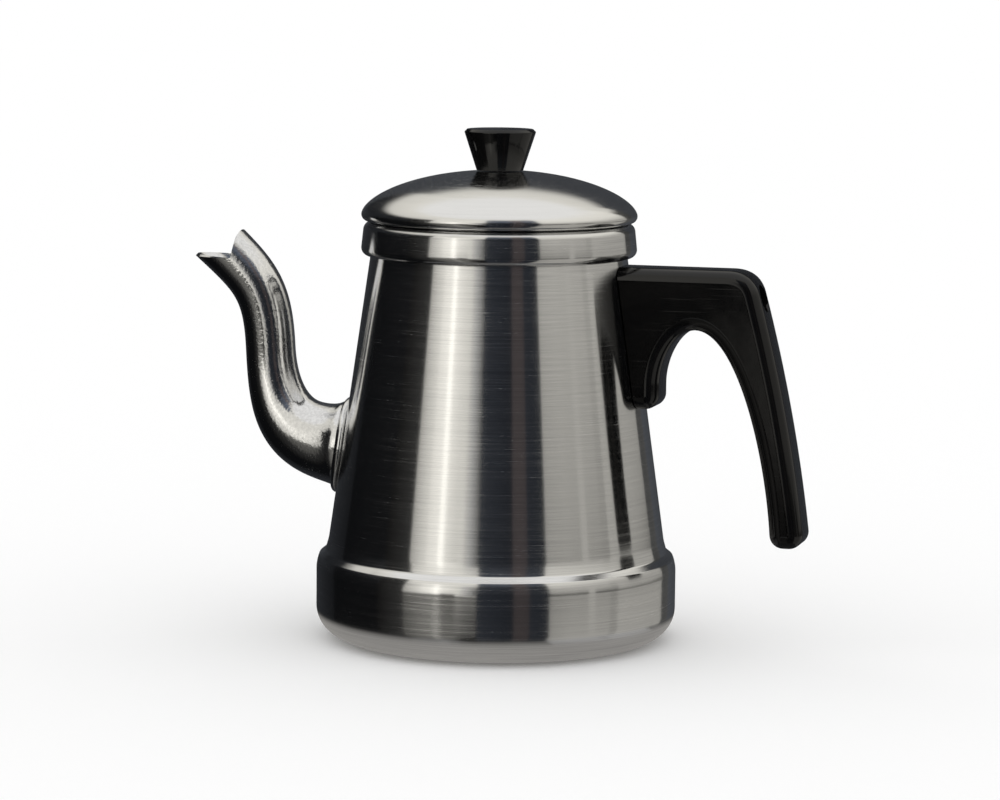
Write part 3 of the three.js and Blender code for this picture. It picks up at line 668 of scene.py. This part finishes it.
def handleOutline():
    h = handle
    radius = h["endRound"]

    def at(out, drop):
        return handleWall + out, h["top"] - drop

    # the foot against the wall, and the short leg below it
    points = [at(-h["footIn"], 0), at(-h["footIn"], h["legLength"])]
    legX, legZ = at(h["legOut"] - radius, h["legLength"] - radius)
    points += arcPoints(legX, legZ, radius, -math.pi / 2, 0)

    # the arch over the fingers, up the leg and down the inside of the grip
    legEnd, crown = at(h["legOut"], h["legStraightDrop"]), at(h["crownOut"], h["crownDrop"])
    archHeight = h["legStraightDrop"] - h["crownDrop"]
    archReach = h["crownOut"] - h["legOut"]
    points += curvePoints(
        legEnd, at(h["legOut"], h["legStraightDrop"] - archHeight * h["archSteepness"]),
        at(h["crownOut"] - archReach * h["archFlatness"], h["crownDrop"]), crown,
    )
    gripTurn = h["gripLength"] - radius
    inner, outer = math.radians(h["gripInnerLean"]), math.radians(h["gripOuterLean"])
    innerX, endZ = at(h["gripEndOut"] - h["gripEndWidth"] + radius, gripTurn)
    outerX = handleWall + h["gripEndOut"] - radius
    innerEnd = (innerX - radius * math.cos(inner), endZ - radius * math.sin(inner))
    gripRise = (gripTurn - h["crownDrop"]) * h["gripSteepness"]
    points += curvePoints(
        crown,
        at(h["crownOut"] + (h["gripEndOut"] - h["crownOut"]) * h["gripFlatness"], h["crownDrop"]),
        (innerEnd[0] - gripRise * math.sin(inner), innerEnd[1] + gripRise * math.cos(inner)),
        innerEnd,
    )

    # the rounded end of the grip, its outside and the corner to the bar
    points += arcPoints(innerX, endZ, radius, math.pi + inner, 1.5 * math.pi)
    points += arcPoints(outerX, endZ, radius, 1.5 * math.pi, 2 * math.pi + outer)
    bow = (gripTurn - h["cornerDrop"]) / 2
    start = (outerX + radius * math.cos(outer), endZ + radius * math.sin(outer))
    middle = (start[0] - bow * math.tan(outer), start[1] + bow)
    topCorner = at(h["cornerOut"], h["cornerDrop"])
    tuck = at(h["cornerOut"] - h["cornerDrop"] * h["cornerTuck"], 0)
    barEnd = at(h["barStraight"], 0)
    for first, pull, last in ((start, middle, topCorner), (topCorner, tuck, barEnd)):
        # one pull point serves both ends of the curve
        near = tuple(a + (b - a) * 2 / 3 for a, b in zip(first, pull))
        far = tuple(a + (b - a) * 2 / 3 for a, b in zip(last, pull))
        points += curvePoints(first, near, far, last)

    kept = [points[0]]
    for point in points[1:]:
        if math.dist(point, kept[-1]) > h["leastStep"]:
            kept.append(point)
    return kept


def insetEnd(bm, end, thickness, depth):
    bmesh.ops.inset_region(bm, faces=[end], use_boundary=True, use_even_offset=True,
                           thickness=thickness, depth=depth)


def makeHandle():
    bm = bmesh.new()
    flat = handle["thickness"] / 2 - handle["edge"]
    verts = [bm.verts.new((x, -flat, z)) for x, z in handleOutline()]
    face = bm.faces.new(verts)
    grown = bmesh.ops.extrude_face_region(bm, geom=[face], use_keep_orig=True)["geom"]
    moved = [item for item in grown if isinstance(item, bmesh.types.BMVert)]
    bmesh.ops.translate(bm, vec=(0, 2 * flat, 0), verts=moved)
    bmesh.ops.recalc_face_normals(bm, faces=bm.faces)
    ends = sorted(bm.faces, key=lambda face: face.calc_area())[-2:]
    steps = handle["edgeSteps"]
    for end in ends:
        for i in range(steps):
            near, far = [math.pi / 2 * k / steps for k in (i, i + 1)]
            insetEnd(bm, end, handle["edge"] * (math.cos(near) - math.cos(far)),
                     handle["edge"] * (math.sin(far) - math.sin(near)))
        insetEnd(bm, end, handle["panelRim"], 0)
        insetEnd(bm, end, handle["panelInset"], -handle["panelDepth"])
    piece = finishMesh("pot_handle", bm, handle["sharpAngle"])
    along = Matrix.Translation((0, 0, screwHeight)) @ Matrix.Rotation(math.pi / 2, 4, "Y")
    access = rodCutter("accessCutter", handle["accessRadius"], handleWall + handle["seatOut"],
                       handleWall + handle["gripLength"], along)
    return cutAway(piece, [coneCutter("wallCutter", gap), access], handle["sharpAngle"])


# Lid and knob, which lift off together
lid = {
    "radius": 57.1, "widest": 175.9, "dome": 18.45, "fullness": 0.59, "wall": 1.2,
    "roll": 2.7, "rollLip": 0.6, "rollSteps": 11, "seat": 11.2, "steps": 48, "sides": 224,
    "skirtRadius": 50.2, "skirtWall": 1.1, "skirtLength": 11, "skirtFlange": 4.2,
    "skirtTaper": 1, "taperLength": 3, "taperBend": 3, "edgeRound": 0.3,
    "innerBend": 0.6, "outerBend": 1.2, "skirtSides": 192, "sharpAngle": 50,
}
knob = {
    "foot": 9.6, "top": 14.8, "height": 17.1, "edge": 1.2, "rounding": 0.5,
    "socket": 4.3, "socketDepth": 9.6, "socketRounding": 0.3, "sides": 128, "sharpAngle": 40,
}
lidBottom = lid["widest"] - lid["roll"]


def domeTopAt(radius):
    return lid["widest"] + lid["dome"] * (1 - (radius / lid["radius"]) ** 2) ** lid["fullness"]


seatHeight = domeTopAt(lid["seat"])


def makeLid():
    inner = lid["radius"] - lid["roll"]
    profile = [(inner - lid["rollLip"], lidBottom)]
    for i in range(lid["rollSteps"]):
        angle = math.radians(-90 + 90 * i / lid["rollSteps"])
        profile.append((
            inner + lid["roll"] * math.cos(angle), lid["widest"] + lid["roll"] * math.sin(angle),
        ))
    seatTurn = math.acos(lid["seat"] / lid["radius"])
    for i in range(lid["steps"] + 1):
        radius = lid["radius"] * math.cos(seatTurn * i / lid["steps"])
        profile.append((radius, domeTopAt(radius)))
    profile.append((0, seatHeight))
    bm = turn(profile, lid["sides"])
    bmesh.ops.recalc_face_normals(bm, faces=bm.faces)
    bmesh.ops.solidify(bm, geom=bm.faces[:], thickness=lid["wall"])
    return finishMesh("lid_shell", bm, lid["sharpAngle"])


def makeSkirt():
    top = lidBottom + lid["wall"] + gap + lid["skirtWall"]
    bottom = lidBottom - lid["skirtLength"]
    outer, wall, taper = lid["skirtRadius"], lid["skirtWall"], lid["skirtTaper"]
    flange, tapered = outer + lid["skirtFlange"], bottom + lid["taperLength"]
    bend, edge = lid["taperBend"], lid["edgeRound"]
    bm = turn([
        (outer - taper, bottom, edge), (outer, tapered, bend),
        (outer, top - wall, lid["innerBend"]), (flange, top - wall, edge), (flange, top, edge),
        (outer - wall, top, lid["outerBend"]), (outer - wall, tapered, bend),
        (outer - taper - wall, bottom, edge),
    ], lid["skirtSides"], closed=True)
    return finishMesh("lid_inner_ring", bm, lid["sharpAngle"])


def makeKnob():
    foot = seatHeight + gap
    top, socketTop = foot + knob["height"], foot + knob["socketDepth"]
    rounding = knob["rounding"]
    bm = turn([
        (0, socketTop), (knob["socket"], socketTop), (knob["socket"], foot, knob["socketRounding"]),
        (knob["foot"], foot, rounding), (knob["top"], top - knob["edge"], rounding),
        (knob["top"] - knob["edge"], top, rounding), (0, top),
    ], knob["sides"])
    return finishMesh("lid_knob", bm, knob["sharpAngle"])


dress(makeBody(), spunAluminium, "pot", "spun_aluminium", "body_shell")
dress(makeSpout(), castAluminium, "pot", "cast_aluminium", "spout")
dress(makeBead(), castAluminium, "pot", "cast_aluminium")
dress(makeHandle(), blackBakelite, "pot", "bakelite", "handle")
dress(makeLid(), polishedAluminium, "lid", "lid_aluminium", "lid_dome")
dress(makeSkirt(), polishedAluminium, "lid", "lid_aluminium", "lid_skirt")
dress(makeKnob(), blackBakelite, "lid", "bakelite", "knob")

# Nodes that keep their CAD meshes
keptNodes = {
    "spout_lock_ring": castAluminium, "spout_strainer": plainAluminium,
    "handle_bracket": castAluminium, "handle_screw": platedSteel, "handle_washer": platedSteel,
    "handle_rivet_1": plainAluminium, "handle_rivet_2": plainAluminium,
    "handle_rivet_3": plainAluminium, "handle_rivet_4": plainAluminium,
    "knob_insert": turnedBrass, "knob_screw": platedSteel, "knob_washer": platedSteel,
}
for name, material in keptNodes.items():
    paint(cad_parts[name], material)
print("pieces dressed")


# Camera: stands 16 degrees round from the pot's side, towards the handle
camera = {
    "turn": 16, "distance": 1480, "height": 281, "pitch": 7.022, "roll": 0.562,
    "lens": 129.05, "sensor": 36, "shiftX": 0.00236, "farClip": 100,
}


def makeCamera():
    turned = math.radians(camera["turn"])
    pitch, roll = math.radians(camera["pitch"]), math.radians(camera["roll"])
    right = Vector((math.cos(turned), math.sin(turned), 0))
    forward = Vector((
        -math.sin(turned) * math.cos(pitch), math.cos(turned) * math.cos(pitch), -math.sin(pitch),
    ))
    up = right.cross(forward)
    rolledRight = math.cos(roll) * right + math.sin(roll) * up
    rolledUp = math.cos(roll) * up - math.sin(roll) * right
    data = bpy.data.cameras.new("photoCamera")
    data.lens = camera["lens"]
    data.sensor_width = camera["sensor"]
    data.shift_x = camera["shiftX"]
    data.clip_end = camera["farClip"]
    made = newObject("photoCamera", data)
    place = Matrix((rolledRight, rolledUp, -forward)).transposed().to_4x4()
    distance = camera["distance"]
    place.translation = Vector((
        distance * math.sin(turned), -distance * math.cos(turned), camera["height"],
    )) * millimetre
    made.matrix_world = place
    bpy.context.scene.camera = made


makeCamera()
print("camera placed")

# Studio: a white floor and room, with cards round the pot for the metal to mirror. Sizes here are
# in metres. A card's "span" is in degrees round from the camera, positive to its right. "tones"
# runs from one end of the card to the other, and "low" dims it under the horizon. "belt" is the
# tone of a band from "beltLow" up to the card's "beltTop", or to the horizon without one. "rise"
# gives tones at heights in degrees up, where None keeps the tone below, and the pale ceiling
# closes the room.
warm, cool, rosy = (1.03, 1.0, 0.92), (0.88, 1.0, 1.25), (1.15, 0.97, 0.97)
plain, grey = (1.01, 1.0, 0.97), (0.94, 1.0, 1.12)
darkRise = ((30, None), (37, 0.7), (50, 0.8))
farRise = ((37, None), (44, 0.7), (54, 0.8))
hall = {"low": 0.8, "rise": ((12, None), (16, 0.018)) + darkRise, "tint": grey}
window = {"rise": ((18, None), (26, 0.85), (50, 0.8)), "tint": warm}
screen = {"rise": ((24, None), (30, 0.09), (44, 0.15), (52, 0.7)), "tint": cool}
wall = {"rise": ((13, None), (18, 0.56), (24, 0.68), (30, 0.8), (42, 0.86)), "tint": warm}
cards = [
    dict(span=(-180, -164), tones=(0.06, 0.05), low=0.6, rise=farRise, tint=grey),
    dict(hall, span=(-164, -125), tones=(0.035, 0.012)),
    dict(hall, span=(-125, -80), tones=(0.006, 0.006)),
    dict(span=(-80, -60), tones=(0.007, 0.03), low=1, rise=darkRise, tint=plain),
    dict(window, span=(-60, -48), tones=(0.46, 0.86), low=0.16, belt=0.16),
    dict(window, span=(-48, -41), tones=(0.94, 1.1), low=0.14, belt=0.16),
    dict(window, span=(-41, -39), tones=(1.1, 1.4), low=0.17, belt=0.04),
    dict(window, span=(-39, -36.6), tones=(1.5, 1.5), low=0.19, belt=0.04),
    dict(window, span=(-36.6, -34.5), tones=(1.3, 1.05), low=0.18, belt=0.04),
    dict(window, span=(-34.5, -25.5), tones=(1.04, 0.8), low=0.13, belt=0.03, beltTop=0.16),
    dict(window, span=(-25.5, -22), tones=(0.8, 0.7), low=0.05, belt=0.65),
    dict(window, span=(-22, -12), tones=(0.62, 0.07), low=0.03, belt=0.6, tint=plain),
    dict(screen, span=(-12, 11), tones=(0.028, 0.016), low=1),
    dict(screen, span=(11, 21), tones=(0.055, 0.05), low=0.8, tint=rosy),
    dict(screen, span=(21, 33.7), tones=(0.024, 0.018), low=1),
    dict(wall, span=(33.7, 48), tones=(0.38, 0.44), low=0.9, belt=0.06, beltTop=0.22),
    dict(wall, span=(48, 60), tones=(0.44, 0.43), low=0.92, belt=0.07, beltTop=0.22),
    dict(wall, span=(60, 65), tones=(0.43, 0.43), low=0.92),
    dict(wall, span=(65, 77), tones=(0.43, 0.43), low=0.92, belt=0.1, beltTop=0.2),
    dict(wall, span=(77, 83), tones=(0.37, 0.37), low=0.88, belt=0.1, beltTop=0.16),
    dict(wall, span=(83, 131), tones=(0.44, 0.38), low=1, belt=0.1, beltTop=-0.02),
    dict(span=(131, 143), tones=(0.07, 0.08), low=1, rise=((8, 0.05),) + darkRise, tint=plain),
    dict(span=(143, 180), tones=(0.08, 0.04), low=1, rise=((8, 0.05),) + farRise, tint=grey),
]
studio = {
    "cardDistance": 3.0, "cardFoot": -4.4, "stripDegrees": 3, "leastStrips": 3, "warmOver": 0.5,
    "horizon": -0.02, "beltFoot": -0.38, "beltLow": -0.3, "beltFade": 0.1,
    # the table's tone is painted shade: the white floor round the pot's foot, darkened as the pot
    # shades it
    "tableRadius": 0.081, "tableHeight": -0.0003, "shadedTableTone": (0.31, 0.3, 0.285),
    "tableFade": 1.18, "mirroredTurn": 1.8,
    "ceilingHeight": 4.6, "ceilingTone": (0.91, 0.9, 0.88), "pitTone": (0.1, 0.1, 0.1),
    "floorRadius": 9.0, "floorHeight": -0.0006, "discSides": 96,
}


# What glows has the tone that its points carry
def makeGlow():
    material = bpy.data.materials.new("cardGlow")
    material.use_nodes = True
    tree = material.node_tree
    tree.nodes.clear()
    tone = addNode(tree, "Attribute", attribute_name="tone")
    light = addNode(tree, "Emission", {"Color": tone.outputs["Color"], "Strength": 1.0})
    out = addNode(tree, "OutputMaterial")
    tree.links.new(light.outputs[0], out.inputs["Surface"])
    return material


glow = makeGlow()


# Scenery, hidden from some kinds of ray
def newStage(name, bm, material, *hiddenFrom):
    mesh = bpy.data.meshes.new(name)
    bm.to_mesh(mesh)
    bm.free()
    mesh.materials.append(material)
    made = newObject(name, mesh)
    for ray in hiddenFrom:
        setattr(made, "visible_" + ray, False)


# The cards, the table, the pit and the ceiling are seen by reflections alone
def newGlowingStage(name, bm):
    newStage(name, bm, glow, "camera", "diffuse", "shadow", "transmission", "volume_scatter")


# Heights and tones from a card's foot to the last step of its rise
def cardLine(card, tone):
    low = tone * card["low"]
    belt, top = card.get("belt", low), card.get("beltTop", studio["horizon"])
    line = [(studio["cardFoot"], low), (studio["beltFoot"], low), (studio["beltLow"], belt),
            (top - studio["beltFade"], belt), (top, tone)]
    for degrees, level in card["rise"]:
        tone = tone if level is None else level
        line.append((studio["cardDistance"] * math.tan(math.radians(degrees)), tone))
    return line


def toneAcross(card, share):
    first, last = card["tones"]
    return first + (last - first) * share


def makeCards():
    distance = studio["cardDistance"]
    for number, card in enumerate(cards):
        start, end = card["span"]
        steps = max(studio["leastStrips"], int((end - start) / studio["stripDegrees"]))
        strip = Matrix.Rotation(math.radians((end - start) / steps), 3, "Z")
        turned = math.radians(start - 90 + camera["turn"])
        heights = [z for z, level in cardLine(card, 1)] + [studio["ceilingHeight"]]
        bm = bmesh.new()
        tone = bm.verts.layers.float_color.new("tone")
        foot = (distance * math.cos(turned), distance * math.sin(turned))
        verts = [bm.verts.new((*foot, z)) for z in heights]
        edges = [bm.edges.new(pair) for pair in zip(verts, verts[1:])]
        for step in range(steps + 1):
            if step:
                grown = bmesh.ops.extrude_edge_only(bm, edges=edges)["geom"]
                verts = [item for item in grown if isinstance(item, bmesh.types.BMVert)]
                verts.sort(key=lambda vert: vert.co.z)
                edges = [bm.edges.get(pair) for pair in zip(verts, verts[1:])]
                bmesh.ops.rotate(bm, verts=verts, matrix=strip)
            line = cardLine(card, toneAcross(card, step / steps))
            for vert, (z, level) in zip(verts, line):
                tint = warm if level > studio["warmOver"] else card["tint"]
                vert[tone] = (*(level * part for part in tint), 1)
            verts[-1][tone] = (*studio["ceilingTone"], 1)
        newGlowingStage(f"card_{number}", bm)


# The pot's side mirrors a card about twice as far round as the rim in front of it
def rimToneAt(degrees):
    mirrored = min(180, max(-180, degrees * studio["mirroredTurn"]))
    for card in cards:
        start, end = card["span"]
        if start <= mirrored <= end:
            return toneAcross(card, (mirrored - start) / (end - start)) * card["low"]


# A disc of one tone; with a fade it has a rim that blends into the cards
def makeGlowingDisc(name, radius, height, level, fade=None):
    bm = bmesh.new()
    bmesh.ops.create_circle(bm, segments=studio["discSides"], radius=radius, cap_ends=True)
    tone = bm.verts.layers.float_color.new("tone")
    for vert in bm.verts:
        vert.co.z = height
        vert[tone] = (*level, 1)
    if fade:
        rim = [edge for edge in bm.edges if edge.is_boundary]
        grown = bmesh.ops.extrude_edge_only(bm, edges=rim)["geom"]
        outer = [item for item in grown if isinstance(item, bmesh.types.BMVert)]
        bmesh.ops.scale(bm, vec=(fade, fade, 1), verts=outer)
        for vert in outer:
            degrees = math.degrees(math.atan2(vert.co.y, vert.co.x)) + 90 - camera["turn"]
            rimTone = rimToneAt(degrees if degrees <= 180 else degrees - 360)
            vert[tone] = (rimTone, rimTone, rimTone, 1)
    newGlowingStage(name, bm)


def makeFloor():
    material = bpy.data.materials.new("floorPaint")
    material.use_nodes = True
    shader = material.node_tree.nodes["Principled BSDF"]
    shader.inputs["Base Color"].default_value = (1, 1, 1, 1)
    shader.inputs["Roughness"].default_value = 1
    shader.inputs["Specular IOR Level"].default_value = 0
    bm = bmesh.new()
    bmesh.ops.create_circle(bm, segments=studio["discSides"], radius=studio["floorRadius"],
                            cap_ends=True)
    bmesh.ops.translate(bm, vec=(0, 0, studio["floorHeight"]), verts=bm.verts)
    newStage("floor", bm, material, "glossy")  # the metal mirrors the table and the cards instead


def makeRoom():
    world = bpy.data.worlds.new("whiteRoom")
    bpy.context.scene.world = world
    world.use_nodes = True
    background = world.node_tree.nodes["Background"]
    background.inputs["Color"].default_value = (1, 1, 1, 1)
    background.inputs["Strength"].default_value = 1.0


makeCards()
# The table disc is painted shade: a grey glow round the pot's foot that only the metal mirrors, in
# place of the white floor shaded by the pot
makeGlowingDisc("table", studio["tableRadius"], studio["tableHeight"], studio["shadedTableTone"],
                studio["tableFade"])
makeGlowingDisc("pit", studio["cardDistance"], studio["cardFoot"], studio["pitTone"])
makeGlowingDisc("ceiling", studio["cardDistance"], studio["ceilingHeight"], studio["ceilingTone"])
makeFloor()
makeRoom()
bpy.context.scene.view_settings.view_transform = "Standard"
print("studio made")
